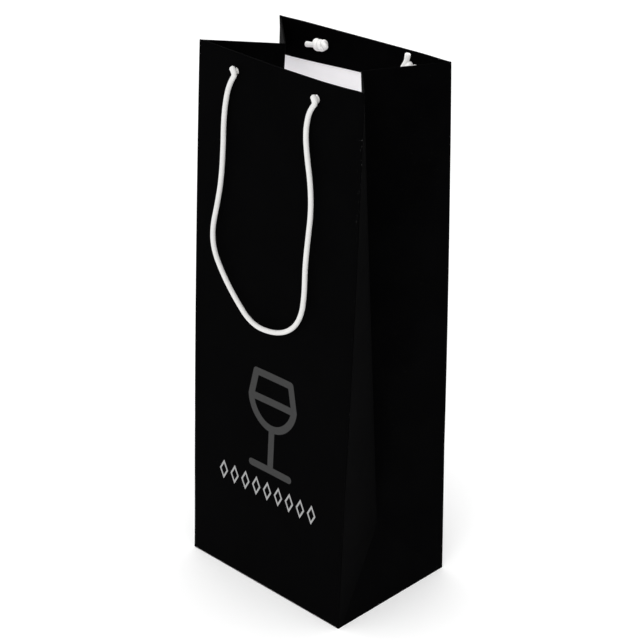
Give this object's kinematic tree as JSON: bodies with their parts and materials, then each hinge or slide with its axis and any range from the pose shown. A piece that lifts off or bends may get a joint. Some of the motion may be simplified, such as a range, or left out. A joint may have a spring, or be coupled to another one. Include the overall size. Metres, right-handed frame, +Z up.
{
  "type": "wine gift bag",
  "caption": "Tall narrow paper gift bag for one wine bottle, with folding side gussets, a turned-in mouth hem and two knotted rope handles.",
  "frame": {"origin": "middle of the base, on the surface that the bag stands on", "axes": "+Z up along the height, front face towards -Y, +X to the right of somebody facing the front"},
  "size_m": [0.127, 0.092, 0.326],
  "materials": {
    "printed_paper": "satin",
    "board": "matte",
    "rope": "matte"
  },
  "bodies": {
    "bag_base": {"base_outer_flap": "printed_paper", "base_inner_flap": "printed_paper", "base_tuck_left": "printed_paper", "base_tuck_right": "printed_paper", "base_board": "board", "left_gusset_triangle": "printed_paper", "right_gusset_triangle": "printed_paper", "left_gusset_front": "printed_paper", "left_gusset_back": "printed_paper", "right_gusset_front": "printed_paper", "right_gusset_back": "printed_paper", "left_gusset_front_hem": "printed_paper", "left_gusset_back_hem": "printed_paper", "right_gusset_front_hem": "printed_paper", "right_gusset_back_hem": "printed_paper"},
    "front_wall": {"front_panel": "printed_paper", "front_top_board": "board", "front_top_hem": "printed_paper", "front_left_knot": "rope", "front_right_knot": "rope"},
    "back_wall": {"back_panel": "printed_paper", "back_top_board": "board", "back_top_hem": "printed_paper", "side_seam_flap": "printed_paper", "back_left_knot": "rope", "back_right_knot": "rope"},
    "front_handle": {"front_handle_rope": "rope"},
    "back_handle": {"back_handle_rope": "rope"}
  },
  "joints": [
    {"name": "front_wall_fold", "type": "hinge", "parent": "bag_base", "child": "front_wall", "pos_m": [0, -0.046, 0.00025], "axis": [-1, 0, 0], "range_deg": [-1.75, 2.5], "stiffness_Nm_per_rad": 0.6, "deforming": ["left_gusset_front", "right_gusset_front", "left_gusset_front_hem", "right_gusset_front_hem"]},
    {"name": "back_wall_fold", "type": "hinge", "parent": "bag_base", "child": "back_wall", "pos_m": [0, 0.046, 0.00025], "axis": [1, 0, 0], "range_deg": [-1.75, 2.5], "stiffness_Nm_per_rad": 0.6, "deforming": ["left_gusset_back", "right_gusset_back", "left_gusset_back_hem", "right_gusset_back_hem"]},
    {"name": "front_handle_swing", "type": "hinge", "parent": "front_wall", "child": "front_handle", "pos_m": [-0.0014, -0.03153, 0.314], "axis": [-1, 0, 0], "range_deg": [0, 180]},
    {"name": "back_handle_swing", "type": "hinge", "parent": "back_wall", "child": "back_handle", "pos_m": [0.0014, 0.03857, 0.314], "axis": [0.9991, 0.0417, 0], "range_deg": [0, 180]}
  ],
  "couplings": [
    {"joint": "back_wall_fold", "follows": "front_wall_fold", "ratio": 1}
  ]
}
